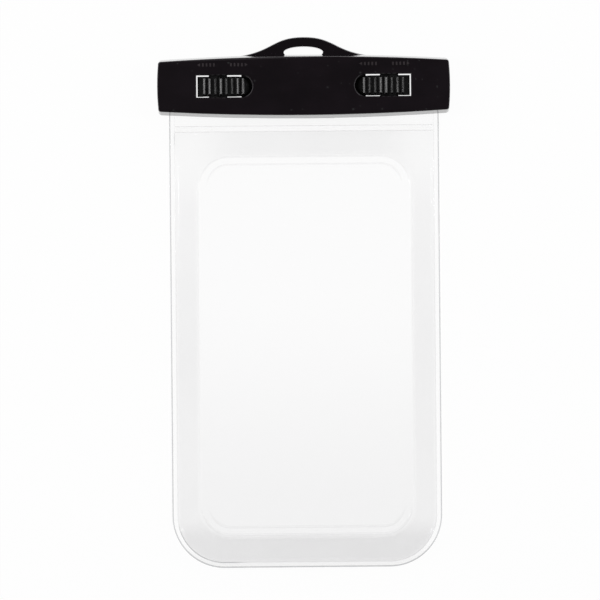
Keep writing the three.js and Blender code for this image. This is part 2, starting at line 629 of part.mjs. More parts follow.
// The grooved half lies on the back film, and its two jaws hold the rib's bulb.
function zipGrooveStrip() {
  const seat = FILM_PLANE - ZIP_RISE;
  const floor = seat + ZIP_BASE;
  const lipBottom = floor + ZIP_CLEARANCE + ZIP_BULB_HEIGHT + ZIP_CLEARANCE;
  const lipTop = FILM_PLANE + ZIP_RISE - ZIP_BASE - ZIP_CLEARANCE;
  const half = ZIP_WIDTH / 2;
  const cavity = ZIP_BULB / 2 + ZIP_CLEARANCE;
  const lip = ZIP_NECK / 2 + ZIP_CLEARANCE;
  const jaw = cavity + ZIP_JAW;
  return runAlongX(polygon([
    [ZIP_Y - half, seat],
    [ZIP_Y + half, seat],
    [ZIP_Y + half, floor],
    [ZIP_Y + jaw, floor],
    [ZIP_Y + jaw, lipTop],
    [ZIP_Y + lip, lipTop],
    [ZIP_Y + lip, lipBottom],
    [ZIP_Y + cavity, lipBottom],
    [ZIP_Y + cavity, floor],
    [ZIP_Y - cavity, floor],
    [ZIP_Y - cavity, lipBottom],
    [ZIP_Y - lip, lipBottom],
    [ZIP_Y - lip, lipTop],
    [ZIP_Y - jaw, lipTop],
    [ZIP_Y - jaw, floor],
    [ZIP_Y - half, floor],
  ]), [-zipHalfLength, zipHalfLength]);
}

function named(name, form, look) {
  let geometry = form;
  if (!form.isBufferGeometry) {
    const { vertProperties, triVerts } = form.getMesh();
    geometry = new THREE.BufferGeometry();
    geometry.setAttribute('position', new THREE.Float32BufferAttribute(vertProperties, 3));
    geometry.setIndex(new THREE.BufferAttribute(triVerts, 1));
  }
  geometry.computeVertexNormals();
  const mesh = new THREE.Mesh(geometry, new THREE.MeshStandardMaterial({ ...look, flatShading: true }));
  mesh.name = name;
  return mesh;
}

const pouch = new THREE.Group();
pouch.add(
  named('back_cover', backCover(), BLACK),
  named('front_cover', frontCover(), BLACK),
  named('front_inner_plate', frontInnerPlate(), { ...BLACK, roughness: 0.5 }),
  named('left_latch', latch(SIDES.left), { ...BLACK, color: 0x1a1818 }),
  named('right_latch', latch(SIDES.right), { ...BLACK, color: 0x1a1818 }),
  named('seal_gasket', sealGasket(), { color: 0x2a2a2b, roughness: 0.8, metalness: 0 }),
  named('front_film', bagFilm(1), CLEAR),
  named('back_film', bagFilm(-1), CLEAR),
  named('zip_rib_strip', zipRibStrip(), CLEAR),
  named('zip_groove_strip', zipGrooveStrip(), CLEAR));

export default pouch;
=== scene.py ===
import json
import math

import bpy
from bpy.props import FloatProperty, FloatVectorProperty, IntProperty, PointerProperty
from mathutils import Matrix, Vector


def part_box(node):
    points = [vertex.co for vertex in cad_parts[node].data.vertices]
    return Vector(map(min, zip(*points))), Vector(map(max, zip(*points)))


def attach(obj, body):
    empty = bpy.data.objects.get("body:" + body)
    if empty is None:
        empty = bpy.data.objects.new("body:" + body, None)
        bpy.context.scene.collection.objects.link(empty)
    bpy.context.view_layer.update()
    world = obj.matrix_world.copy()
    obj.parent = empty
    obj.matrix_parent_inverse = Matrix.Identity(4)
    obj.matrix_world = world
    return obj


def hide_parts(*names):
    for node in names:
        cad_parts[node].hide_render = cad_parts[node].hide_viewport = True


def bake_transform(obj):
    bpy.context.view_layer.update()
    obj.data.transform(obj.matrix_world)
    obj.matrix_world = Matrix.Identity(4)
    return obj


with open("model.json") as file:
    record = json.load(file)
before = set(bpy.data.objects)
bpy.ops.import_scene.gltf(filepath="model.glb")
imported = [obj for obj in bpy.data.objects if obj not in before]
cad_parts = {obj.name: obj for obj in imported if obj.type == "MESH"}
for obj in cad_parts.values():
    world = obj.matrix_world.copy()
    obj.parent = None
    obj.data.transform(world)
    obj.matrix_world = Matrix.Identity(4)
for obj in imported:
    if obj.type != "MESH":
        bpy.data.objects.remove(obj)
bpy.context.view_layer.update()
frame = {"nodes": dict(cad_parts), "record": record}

bl_info = {
    "name": "Waterproof pouch",
    "version": (1, 0, 0),
    "blender": (4, 5, 0),
    "location": "3D View > Sidebar > Pouch",
    "description": "Dresses the clear pouch, its black clip and its sliding latches",
    "category": "Object",
}

MM = 0.001
JOINTS = frame["record"]["behaviour"]["joints"]
HINGE = next(joint for joint in JOINTS if joint["name"] == "front_cover_hinge")
BAG_LOW, BAG_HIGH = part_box("front_film")
FILM_PLANE = BAG_LOW.z
ZIP_LOW, ZIP_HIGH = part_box("zip_rib_strip")
GROOVE_LOW, GROOVE_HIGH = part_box("zip_groove_strip")
ZIP_Y = (ZIP_HIGH.y + ZIP_LOW.y) / 2
ZIP_HALF = ZIP_HIGH.y - ZIP_Y
CLIP_LOW, CLIP_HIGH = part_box("front_cover")


def raised_panel():
    """The lowest and highest corners of the front film's topmost level, which is its flat panel."""
    level = BAG_HIGH.z - 0.01 * MM
    top = [v.co for v in frame["nodes"]["front_film"].data.vertices if v.co.z > level]
    return [Vector([pick(co[i] for co in top) for i in range(3)]) for pick in (min, max)]


PANEL_LOW, PANEL_HIGH = raised_panel()
PANEL_Y = (PANEL_HIGH.y + PANEL_LOW.y) / 2


# Settings that a user would change


class PouchFilmSettings(bpy.types.PropertyGroup):
    weld_width: FloatProperty(
        name="Weld width", description="Width of the welded border", default=2.1 * MM, unit="LENGTH")
    corner_radius: FloatProperty(
        name="Corner radius", description="Radius of the two lower corners", default=20.5 * MM,
        unit="LENGTH")
    film_thickness: FloatProperty(
        name="Film thickness", description="Thickness of each clear film", default=0.4 * MM,
        unit="LENGTH")
    flat_below_clip: FloatProperty(
        name="Flat below clip", description="Flat film between the clip and the first slope",
        default=0.7 * MM, unit="LENGTH")
    shoulder: FloatProperty(
        name="Shoulder", description="Width of the slope beside the weld", default=1.3 * MM,
        unit="LENGTH")
    panel_radius: FloatProperty(
        name="Panel corners", description="Corner radius of the raised panel", default=11.5 * MM,
        unit="LENGTH")
    panel_ramp: FloatProperty(
        name="Panel ramp", description="Width of the slope up to the raised panel",
        default=1.8 * MM, unit="LENGTH")
    panel_crown: FloatProperty(
        name="Panel crown", description="How far the front panel bulges at its middle",
        default=0.9 * MM, unit="LENGTH")
    ripple: FloatProperty(
        name="Ripple", description="Height of the soft waves in the film", default=0.2 * MM,
        unit="LENGTH")
    colour: FloatVectorProperty(
        name="Film colour", description="Tint of the clear film", subtype="COLOR", size=3,
        min=0, max=1, default=(0.63, 0.62, 0.635))
    # Painted shade: the grey of the film's cut edge, weld and panel lines stands in for the dark that
    # refraction shows there.
    line_shade_colour: FloatVectorProperty(
        name="Line colour", description="Tint of the film's cut and pressed edges", subtype="COLOR",
        size=3, min=0, max=1, default=(0.26, 0.27, 0.29))
    # Scales the film's haze and the painted shade of its border, lower half and foot.
    haze_and_shade: FloatProperty(
        name="Clouding", description="Share of light that the film's border holds back",
        subtype="FACTOR", default=0.125, min=0, max=1)


class PouchClipSettings(bpy.types.PropertyGroup):
    colour: FloatVectorProperty(
        name="Plastic colour", description="Colour of the clip's moulded plastic", subtype="COLOR",
        size=3, min=0, max=1, default=(0.0042, 0.0022, 0.0038))
    latch_colour: FloatVectorProperty(
        name="Latch colour", description="Colour of the sliding latches", subtype="COLOR",
        size=3, min=0, max=1, default=(0.005, 0.0046, 0.005))
    # Painted highlight: the arrows' tops are lighter than the face, in place of the light their raised
    # edges catch.
    mark_highlight_colour: FloatVectorProperty(
        name="Mark colour", description="Colour of the worn tops of the moulded arrows",
        subtype="COLOR", size=3, min=0, max=1, default=(0.034, 0.028, 0.031))
    # Painted highlight: a light grey on the rim just below the clip's face, where its rounded edge
    # would catch the light.
    edge_highlight_colour: FloatVectorProperty(
        name="Rubbed edges", description="Colour of the handled edges of the clip's face",
        subtype="COLOR", size=3, min=0, max=1, default=(0.072, 0.066, 0.072))
    seal_colour: FloatVectorProperty(
        name="Seal colour", description="Colour of the rubber seal", subtype="COLOR",
        size=3, min=0, max=1, default=(0.02, 0.02, 0.021))
    edge_round: FloatProperty(
        name="Edge round", description="Rounding of the moulded edges", default=0.22 * MM,
        unit="LENGTH")
    mark_height: FloatProperty(
        name="Mark height", description="How far the moulded arrows stand out of the face",
        default=0.14 * MM, unit="LENGTH")


class PouchStageSettings(bpy.types.PropertyGroup):
    camera_distance: FloatProperty(
        name="Camera distance", description="Camera above the clip's face", default=1.5,
        unit="LENGTH")
    photo_scale: FloatProperty(
        name="Photo scale", description="Pixels of the picture to a millimetre", default=2.56)
    clip_px: FloatVectorProperty(
        name="Clip centre", description="Middle of the clip in the picture, in pixels", size=2,
        default=(303.6, 85.6))
    photo_turn: FloatProperty(
        name="Turn", description="How far the pouch leans in the picture, anticlockwise",
        subtype="ANGLE", default=math.radians(0.5))
    photo_size: IntProperty(
        name="Picture size", description="Pixels along the picture's side", default=600,
        subtype="PIXEL")
    zenith: FloatProperty(
        name="Zenith", description="Brightness of the studio straight above", default=0.05)
    horizon: FloatProperty(
        name="Horizon", description="Brightness of the studio round about", default=0.8)
    lamp_power: FloatProperty(
        name="Lamp power", description="Power of the strongest lamps", default=3.2, unit="POWER")


# Shader maths


def feed(tree, socket, value):
    """Links a socket to a value or to another socket, or sets it to a number or a vector."""
    if isinstance(value, Value):
        tree.links.new(value.socket, socket)
    elif isinstance(value, bpy.types.NodeSocket):
        tree.links.new(value, socket)
    else:
        socket.default_value = value


def add_node(tree, kind, settings=None, values=None):
    """Adds a node: its settings are set first, then its sockets get their values or links."""
    made = tree.nodes.new(kind)
    for key, value in (settings or {}).items():
        setattr(made, key, value)
    for key, value in (values or {}).items():
        feed(tree, made.inputs[key], value)
    return made


class Value:
    """A number socket: an expression on values adds the Math nodes that work it out."""

    def __init__(self, tree, socket):
        self.tree = tree
        self.socket = socket

    def math(self, operation, *operands):
        node = add_node(
            self.tree, "ShaderNodeMath", {"operation": operation}, dict(enumerate(operands)))
        return Value(self.tree, node.outputs[0])

    def __add__(self, other):
        return self.math("ADD", self, other)

    def __radd__(self, other):
        return self.math("ADD", other, self)

    def __sub__(self, other):
        return self.math("SUBTRACT", self, other)

    def __rsub__(self, other):
        return self.math("SUBTRACT", other, self)

    def __mul__(self, other):
        return self.math("MULTIPLY", self, other)

    def __rmul__(self, other):
        return self.math("MULTIPLY", other, self)

    def __truediv__(self, other):
        return self.math("DIVIDE", self, other)

    def __pow__(self, other):
        return self.math("POWER", self, other)

    def __neg__(self):
        return self.math("MULTIPLY", self, -1.0)

    def __abs__(self):
        return self.math("ABSOLUTE", self)

    def least(self, other):
        return self.math("MINIMUM", self, other)

    def most(self, other):
        return self.math("MAXIMUM", self, other)

    def between(self, low, high):
        """0 at low and 1 at high, with a smooth rise, or the other way round if low is above high."""
        share = ((self - low) / (high - low)).most(0.0).least(1.0)
        return share * share * (3.0 - 2.0 * share)

    def line(self, centre, half_width):
        """1 on a line where this value is centre, fading to 0 at half_width to each side."""
        return 1.0 - abs(self - centre).between(0.0, half_width)


# Sockets of the Mix node when it mixes colours
MIX_SHARE, MIX_LOW, MIX_HIGH, MIX_RESULT = 0, 6, 7, 2


def opaque(colour):
    """The colour with full alpha, or the socket that stands in its place."""
    return colour if isinstance(colour, bpy.types.NodeSocket) else (*colour, 1)


def paler(colour):
    """The colour that a plastic or a rubber has where it is cloudy."""
    lift = 1.4
    return [part * lift for part in colour]


class Look:
    """A new material, or the tree that is given, and the ways in which its nodes are made."""

    def __init__(self, name, tree=None):
        if tree is None:
            self.material = bpy.data.materials.new(name)
            self.material.use_nodes = True
            tree = self.material.node_tree
        self.tree = tree
        self.tree.nodes.clear()

    def node(self, kind, settings=None, values=None):
        return add_node(self.tree, kind, settings, values)

    def value(self, kind, output=0, values=None):
        """A new node's output, as a value for expressions."""
        return Value(self.tree, self.node(kind, values=values).outputs[output])

    def parts(self, coordinates):
        """The three values of one of the texture coordinates."""
        spot = self.node("ShaderNodeTexCoord").outputs[coordinates]
        split = self.node("ShaderNodeSeparateXYZ", values={"Vector": spot})
        return [Value(self.tree, output) for output in split.outputs]

    def place(self):
        """The point on the object, in metres, as three values."""
        return self.parts("Object")

    def noise(self, scale, detail, stretch=(1, 1, 1)):
        """Soft random values about 0.5, scale patches to a metre, closer where stretch is above 1."""
        spot = self.node("ShaderNodeTexCoord").outputs["Object"]
        spread = self.node("ShaderNodeVectorMath", {"operation": "MULTIPLY"}, {0: spot, 1: stretch})
        return self.value("ShaderNodeTexNoise", values={
            "Vector": spread.outputs[0], "Scale": scale, "Detail": detail})

    def mix(self, share, low, high):
        """The colour low where share is 0 and high where it is 1."""
        made = self.node("ShaderNodeMix", {"data_type": "RGBA"}, {
            MIX_SHARE: share, MIX_LOW: opaque(low), MIX_HIGH: opaque(high)})
        return made.outputs[MIX_RESULT]

    def bump(self, height, distance):
        """A normal for a surface as rough as height, which is 1 at the distance off the surface."""
        return self.node("ShaderNodeBump", values={
            "Height": height, "Distance": distance, "Strength": 1.0}).outputs[0]

    def show(self, shader, output="ShaderNodeOutputMaterial"):
        """Feeds a shader's result to the output node."""
        self.node(output, values={"Surface": shader.outputs[0]})

    def finish(self, **sockets):
        """Feeds the one shader and returns the material."""
        self.show(self.node("ShaderNodeBsdfPrincipled", values={
            name.replace("_", " "): value for name, value in sockets.items()}))
        return self.material


# The grey of single specks in the plastic, and how far the slots' long sides lie from the clip's
# middle line
FLECK_GREY = (0.02, 0.02, 0.021)
SLOT_SIDE = 4.45 * MM


def painted_edge_highlight(y, z):
    """Where the face's painted highlight lies: 1 just below the clip's face, apart from the strip by
    its lower edge and the slots' sides.
    """
    below_face = z.between(CLIP_HIGH.z - 0.02 * MM, CLIP_HIGH.z - 0.12 * MM)
    off_lower_edge = y.between(CLIP_LOW.y + 2.9 * MM, CLIP_LOW.y + 3.9 * MM)
    off_slot_sides = 1.0 - abs(y).line(SLOT_SIDE, 0.9 * MM)
    return below_face * off_lower_edge * off_slot_sides


def black_plastic(name, colour, roughness, grain, polished_below=0.0, shine=0.4, streaks=0.0,
                  edge_highlight=None):
    """Moulded plastic with a very fine grain and faint cloudy gloss. Its walls are polished where
    they lie below the height polished_below. Streaks across X make some ribs duller than others.
    The rim just below the face is lightened by a painted highlight, if a highlight colour is given."""
    look = Look(name)
    _, y, z = look.place()
    fade = 0.1 * MM
    walls = z.between(polished_below + fade, polished_below - fade)
    fine = look.noise(2600.0, 1.0)
    cloud = look.noise(60.0, 3.0, (1, 1.8, 1))
    streak = look.noise(330.0, 1.0, (1, 0.05, 0.03)).between(0.38, 0.6)
    fleck = look.noise(700.0, 0.0).between(0.79, 0.83)
    tint = look.mix(cloud.between(0.35, 0.7), colour, paler(colour))
    if edge_highlight:
        # Painted highlight on the rim just below the face.
        tint = look.mix((1.0 - walls) * painted_edge_highlight(y, z) * (0.5 + cloud), tint, edge_highlight)
    dull = roughness + 0.06 * (cloud - 0.5) + 0.1 * fleck + streaks * streak
    return look.finish(
        Base_Color=look.mix(fleck, tint, FLECK_GREY),
        Roughness=dull * (1.0 - 0.45 * walls),
        Coat_Weight=walls,
        Coat_Roughness=0.08,
        Normal=look.bump(fine * (1.0 - walls), grain),
        Specular_IOR_Level=shine)


def soft_rubber(name, colour):
    look = Look(name)
    grain = look.noise(1800.0, 3.0)
    return look.finish(
        Base_Color=look.mix(grain.between(0.3, 0.7), colour, paler(colour)),
        Roughness=0.62 + 0.2 * grain,
        Normal=look.bump(grain, 0.03 * MM))


def round_box(x, y, half_width, top, bottom, radius):
    """Signed distance to a rounded rectangle, below 0 inside it. Works on values and on numbers."""
    middle = (top + bottom) / 2
    q = abs(x) - (half_width - radius)
    r = abs(y - middle) - ((top - bottom) / 2 - radius)
    if isinstance(q, Value):
        outside = (q.most(0.0) ** 2.0 + r.most(0.0) ** 2.0) ** 0.5
        return outside + q.most(r).least(0.0) - radius
    outside = math.hypot(max(q, 0.0), max(r, 0.0))
    return outside + min(max(q, r), 0.0) - radius


def film_lines(film, x, y, edge, panel, along):
    """The share of painted shade in the cut edge's line, and in all the film's lines together."""
    cut_line = edge.line(0.3 * MM, 0.42 * MM)
    near_clip = y.line(CLIP_LOW.y - 7.5 * MM, 4 * MM)
    lower_left = y.between(BAG_LOW.y + 22 * MM, BAG_LOW.y + 10 * MM) * x.between(-22 * MM, -30 * MM)
    weld_line = edge.line(film.weld_width, 0.3 * MM) * (
        0.16 + 0.5 * near_clip * along.between(0.35, 0.6) + 0.8 * lower_left * along.between(0.4, 0.5))
    pressed, hairline = 3.0 * MM, 0.35 * MM
    panel_ends = abs(y - PANEL_Y).between(62 * MM, 70 * MM)
    panel_line = (panel.line(0.0, hairline) + 0.8 * panel.line(-pressed, hairline)) * panel_ends
    lines = (0.32 * cut_line * (0.75 + 0.5 * along) + 0.32 * weld_line
             + 0.12 * panel_line * (0.5 + along))
    return cut_line, lines


def film_haze_and_shade(film, x, y, edge, panel, patches):
    """The share of light that the film holds back: a little haze everywhere, and painted shade, most
    in its border, less in weld and panel.
    """
    fade = 0.15 * MM
    weld = edge.between(film.weld_width + fade, film.weld_width - fade)
    weld_foot = weld * y.between(BAG_LOW.y + 12 * MM, BAG_LOW.y)
    inside_panel = panel.between(0.8 * MM, 0.0)
    shaded_lower_panel = inside_panel * y.between(PANEL_HIGH.y - 50 * MM, PANEL_LOW.y)
    at_zip = abs(y - ZIP_Y).between(1.4 * MM, 1.1 * MM)
    above_zip = y.between(ZIP_LOW.y, ZIP_HIGH.y)
    upper_corner = abs(x).between(26 * MM, 46 * MM) * y.between(
        PANEL_HIGH.y - 25 * MM, PANEL_HIGH.y)
    lower_half = y.between(PANEL_HIGH.y - 20 * MM, PANEL_HIGH.y - 80 * MM)
    foot = y.between(PANEL_LOW.y + 7 * MM, PANEL_LOW.y - 3 * MM)
    # Painted shade darkens the border, lower half, foot, lower weld and lower panel. Above the zip and
    # in the upper corners less is held back: painted light against the shade that the clip and films
    # cast.
    border = ((1.0 - weld) * (1.0 - inside_panel) * (1.0 - at_zip) * (1.0 - 0.65 * above_zip)
              * (1.0 - 0.55 * upper_corner))
    in_border = film.haze_and_shade * (0.72 + 0.2 * lower_half + 0.85 * foot) + patches
    everywhere = film.haze_and_shade * (0.1 + 0.1 * inside_panel + 0.7 * weld_foot + 0.6 * shaded_lower_panel)
    return everywhere + border * in_border


def clear_film(name, film, strength):
    """Clear film: border darkened by painted shade, brighter weld and panel, and thin grey cut, weld
    and panel lines of painted shade.
    """
    look = Look(name)
    x, y, _ = look.place()
    edge = -round_box(
        x, y, BAG_HIGH.x, BAG_HIGH.y + film.corner_radius, BAG_LOW.y, film.corner_radius)
    panel = round_box(x, y, PANEL_HIGH.x, PANEL_HIGH.y, PANEL_LOW.y, film.panel_radius)
    patches = 0.05 * (look.noise(38.0, 3.0) - 0.5) + 0.04 * (look.noise(11.0, 1.0) - 0.5)
    cut_line, lines = film_lines(film, x, y, edge, panel, look.noise(90.0, 2.0))
    held = film_haze_and_shade(film, x, y, edge, panel, patches)
    slanting = look.value("ShaderNodeLayerWeight", "Facing", {"Blend": 0.3})
    return look.finish(
        Base_Color=look.mix((4.0 * lines).least(1.0), film.colour, film.line_shade_colour),
        Alpha=((held + lines) * strength + 0.22 * slanting ** 3.0).most(0.02).least(0.9),
        Roughness=0.10 + 0.7 * cut_line,
        Specular_IOR_Level=0.9,
        Coat_Weight=0.6 * (1.0 - cut_line),
        Coat_Roughness=0.05,
        Normal=look.bump(look.noise(140.0, 2.0), 0.05 * MM))


def clear_strip(name):
    """The zip's moulded strips: clear, with thin grey edges of painted shade standing in for
    refraction.
    """
    look = Look(name)
    _, y, _ = look.place()
    clear, grey = (0.9, 0.89, 0.9), (0.3, 0.3, 0.31)
    # Painted shade along the strips' edges.
    rim = abs(y - ZIP_Y).between(ZIP_HALF - 0.4 * MM, ZIP_HALF)
    haze = look.noise(220.0, 2.0, (0.2, 1, 1))
    return look.finish(
        Base_Color=look.mix(rim, clear, grey),
        Alpha=0.01 + 0.02 * haze + (0.08 + 0.14 * haze) * rim,
        Roughness=0.12 + 0.1 * haze,
        Specular_IOR_Level=0.5,
        Normal=look.bump(haze, 0.03 * MM))


# Meshes


MERGE_DISTANCE = 0.002 * MM
FLAT_WITHIN = math.radians(0.6)
ROUNDED_ABOVE = math.radians(28)
SMOOTH_BELOW = math.radians(32)
ROUNDING_STEPS = 2


def smooth_by_angle():
    """The node group that shades smooth, apart from edges sharper than SMOOTH_BELOW."""
    name = "smooth_by_angle"
    if name in bpy.data.node_groups:
        return bpy.data.node_groups[name]
    group = bpy.data.node_groups.new(name, "GeometryNodeTree")
    for way in ("INPUT", "OUTPUT"):
        group.interface.new_socket("Geometry", in_out=way, socket_type="NodeSocketGeometry")
    start = add_node(group, "NodeGroupInput")
    angle = add_node(group, "GeometryNodeInputMeshEdgeAngle")
    sharp = add_node(group, "FunctionNodeCompare", {"operation": "GREATER_THAN"},
                     {0: angle.outputs[0], 1: SMOOTH_BELOW})
    faces = add_node(group, "GeometryNodeSetShadeSmooth", {"domain": "FACE"},
                     {0: start.outputs[0]})
    edges = add_node(group, "GeometryNodeSetShadeSmooth", {"domain": "EDGE"}, {
        0: faces.outputs[0], "Selection": sharp.outputs[0], "Shade Smooth": False})
    add_node(group, "NodeGroupOutput", values={0: edges.outputs[0]})
    return group


def dress(node, material, edge_round=0.0):
    """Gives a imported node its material, rounds its edges if asked to and shades it smooth."""
    piece = frame["nodes"][node]
    piece.data.materials.clear()
    piece.data.materials.append(material)
    weld = piece.modifiers.new("weld", "WELD")
    weld.merge_threshold = MERGE_DISTANCE
    if edge_round:
        flat = piece.modifiers.new("flat", "DECIMATE")
        flat.decimate_type = "DISSOLVE"
        flat.angle_limit = FLAT_WITHIN
        bevel = piece.modifiers.new("round", "BEVEL")
        bevel.width = edge_round
        bevel.segments = ROUNDING_STEPS
        bevel.limit_method = "ANGLE"
        bevel.angle_limit = ROUNDED_ABOVE
    shade = piece.modifiers.new("shade", "NODES")
    shade.node_group = smooth_by_angle()
    if edge_round:
        even = piece.modifiers.new("even", "WEIGHTED_NORMAL")
        even.keep_sharp = True


def add_mesh(name, vertices, faces, material, smooth=True):
    """Adds a mesh with one material."""
    mesh = bpy.data.meshes.new(name)
    mesh.from_pydata(vertices, [], faces)
    mesh.validate()
    mesh.polygons.foreach_set("use_smooth", [smooth] * len(mesh.polygons))
    mesh.materials.append(material)
    piece = bpy.data.objects.new(name, mesh)
    bpy.context.scene.collection.objects.link(piece)
    return piece


def ease(share):
    """A smooth rise from 0 to 1, held at both ends."""
    share = min(max(share, 0.0), 1.0)
    return share * share * (3 - 2 * share)


def loops_between(first, second, shares):
    """Loops that lie at the given shares of the way from one loop to another."""
    return [[(ax + (bx - ax) * share, ay + (by - ay) * share)
             for (ax, ay), (bx, by) in zip(first, second)] for share in shares]


class FilmForm:
    """The bag's shape: loops from its cut edge to the middle of the panel, and the film's height."""

    SIDE_STEPS = 64
    END_STEPS = 36
    CORNER_STEPS = 14
    MOUTH_RADIUS = 1 * MM
    MIDDLE_RADIUS = 0.5 * MM

    # Where the loops lie between two outlines, closest where the film bends most
    IN_WELD = (0, 0.12, 0.3, 0.55, 0.8, 0.92)
    IN_BORDER = (0, 0.03, 0.07, 0.12, 0.18, 0.26, 0.36, 0.48, 0.6, 0.72, 0.84, 0.94)
    IN_RAMP = (0, 0.17, 0.34, 0.5, 0.66, 0.83)
    IN_PANEL = (0, 0.02, 0.05, 0.09, 0.14, 0.2, 0.27, 0.35, 0.44, 0.54, 0.65, 0.77, 0.9, 1)

    # Soft waves: radians to a metre along x and along y, size and shift
    WAVES = ((63, 15, 0.55, 0.9), (-35, 52, 0.45, 2.1), (107, -38, 0.30, 4.0),
             (18, 97, 0.28, 5.2), (-138, 78, 0.16, 1.3))

    # The stretch that the zip holds flat, and how far the film takes to loosen beside it and the weld
    ZIP_FLAT = 1.6 * MM
    ZIP_FADE = 3 * MM
    WELD_FADE = 5 * MM

    # The slack round the panel, and how far in from the panel's edge its bulge is full
    SLACK = 0.5 * MM
    SLACK_WIDTH = 9 * MM
    CROWN_WIDTH = 30 * MM

    def __init__(self, film):
        self.film = film
        self.flat_top = CLIP_LOW.y - film.flat_below_clip
        self.weld_edge = (BAG_HIGH.x - film.weld_width, self.flat_top, BAG_LOW.y + film.weld_width)
        self.panel_edge = (PANEL_HIGH.x, PANEL_HIGH.y, PANEL_LOW.y)
        self.zip_rise = ZIP_HIGH.z - FILM_PLANE
        self.panel_rise = BAG_HIGH.z - FILM_PLANE - film.film_thickness

    def loop(self, edges, top_radius, bottom_radius, grow=0.0):
        """A closed rounded outline: edges are its half width, its top and its bottom."""
        half, top, bottom = edges[0] + grow, edges[1] + grow, edges[2] - grow
        points = []
        corners = (
            (half - top_radius, top - top_radius, top_radius, 0),
            (-half + top_radius, top - top_radius, top_radius, 1),
            (-half + bottom_radius, bottom + bottom_radius, bottom_radius, 2),
            (half - bottom_radius, bottom + bottom_radius, bottom_radius, 3))
        for index, (cx, cy, radius, quarter) in enumerate(corners):
            for step in range(self.CORNER_STEPS + 1):
                angle = (quarter + step / self.CORNER_STEPS) * math.pi / 2
                points.append((cx + radius * math.cos(angle), cy + radius * math.sin(angle)))
            nx, ny, nr, nq = corners[(index + 1) % 4]
            following = (nx + nr * math.cos(nq * math.pi / 2), ny + nr * math.sin(nq * math.pi / 2))
            last = points[-1]
            steps = self.END_STEPS if index in (0, 2) else self.SIDE_STEPS
            points += [tuple(a + (b - a) * k / steps for a, b in zip(last, following))
                       for k in range(1, steps)]
        return points

    def loops(self):
        film = self.film
        outline = self.loop((BAG_HIGH.x, BAG_HIGH.y, BAG_LOW.y), self.MOUTH_RADIUS, film.corner_radius)
        inner_edge = self.loop(
            self.weld_edge, self.MOUTH_RADIUS, film.corner_radius - film.weld_width)
        ramp_radius = film.panel_radius + film.panel_ramp
        ramp_foot = self.loop(self.panel_edge, ramp_radius, ramp_radius, film.panel_ramp)
        panel_flat = self.loop(self.panel_edge, film.panel_radius, film.panel_radius)
        middle_edge = (
            self.MIDDLE_RADIUS * 2, PANEL_HIGH.y - PANEL_HIGH.x, PANEL_LOW.y + PANEL_HIGH.x)
        middle = self.loop(middle_edge, self.MIDDLE_RADIUS, self.MIDDLE_RADIUS)
        return [
            *loops_between(outline, inner_edge, self.IN_WELD),
            *loops_between(inner_edge, ramp_foot, self.IN_BORDER),
            *loops_between(ramp_foot, panel_flat, self.IN_RAMP),
            *loops_between(panel_flat, middle, self.IN_PANEL)]

    def ripples(self, x, y, phase):
        """Soft waves, about 1 high, from a few crossed sine waves."""
        return sum(size * math.sin(across * x + down * y + shift + phase)
                   for across, down, size, shift in self.WAVES)

    def height(self, x, y, phase, crown):
        """How far the film stands off the weld plane."""
        film = self.film
        welded = -round_box(x, y, *self.weld_edge, film.corner_radius - film.weld_width)
        beyond = round_box(x, y, *self.panel_edge, film.panel_radius)
        shoulder = ease(welded / film.shoulder)
        panel = ease(1 - beyond / film.panel_ramp)
        rise = self.zip_rise * shoulder + (self.panel_rise - self.zip_rise) * panel
        at_zip = 1 - ease((abs(y - ZIP_Y) - self.ZIP_FLAT) / self.ZIP_FADE)
        loose = ease(welded / self.WELD_FADE) * (1 - at_zip)
        across_slack = min(max(beyond / self.SLACK_WIDTH, 0.0), 1.0)
        slack = math.sin(math.pi * across_slack) * self.SLACK
        bulge = crown * ease(-beyond / self.CROWN_WIDTH)
        return rise + loose * (film.ripple * self.ripples(x, y, phase) + slack * (1 - panel)) + bulge


# The shift of the back film's ripples, how far each cut edge keeps off the weld plane, and the
# film's lowest height
BACK_PHASE = 2.4
CUT_EDGE_OFF = 0.02 * MM
LOWEST_FILM = 0.05 * MM


def film_sheet(name, film, side, material):
    """One clear film as an open sheet with its cut edge, side 1 in front and -1 behind."""
    form = FilmForm(film)
    loops = form.loops()
    crown = film.panel_crown if side > 0 else 0.0
    phase = 0.0 if side > 0 else BACK_PHASE
    count = len(loops[0])
    vertices = [(x, y, FILM_PLANE + side * CUT_EDGE_OFF) for x, y in loops[0]]
    for loop in loops:
        for x, y in loop:
            rise = form.height(x, y, phase, crown) + film.film_thickness
            vertices.append((x, y, max(FILM_PLANE + side * rise, LOWEST_FILM)))
    faces = []
    for row in range(len(loops)):
        for i in range(count):
            a, b = row * count + i, row * count + (i + 1) % count
            quad = (a, b, b + count, a + count)
            faces.append(quad if side > 0 else quad[::-1])
    cap = tuple(range(len(loops) * count, (len(loops) + 1) * count))
    faces.append(cap if side > 0 else cap[::-1])
    return add_mesh(name, vertices, faces, material)


ZIP_SKIN = 0.45 * MM


def rib_profile():
    """Half of the upper strip's section: its rim, its thin skin and its tapered rib."""
    root, tip, tip_height = 0.5 * MM, 0.3 * MM, 0.1 * MM
    under = ZIP_HIGH.z - ZIP_SKIN
    return [(-ZIP_HALF, ZIP_HIGH.z), (-ZIP_HALF, under), (-root, under),
            (-tip, ZIP_LOW.z + tip_height), (0, ZIP_LOW.z)]


def groove_profile():
    """Half of the lower strip's section: its rim, its thin skin and one of its two jaws."""
    foot_outside, foot_inside = 1.05 * MM, 0.45 * MM
    top_outside, top_inside = 0.95 * MM, 0.6 * MM
    floor = GROOVE_LOW.z + ZIP_SKIN
    return [(-ZIP_HALF, GROOVE_LOW.z), (-ZIP_HALF, floor), (-foot_outside, floor),
            (-top_outside, GROOVE_HIGH.z), (-top_inside, GROOVE_HIGH.z), (-foot_inside, floor),
            (0, floor)]


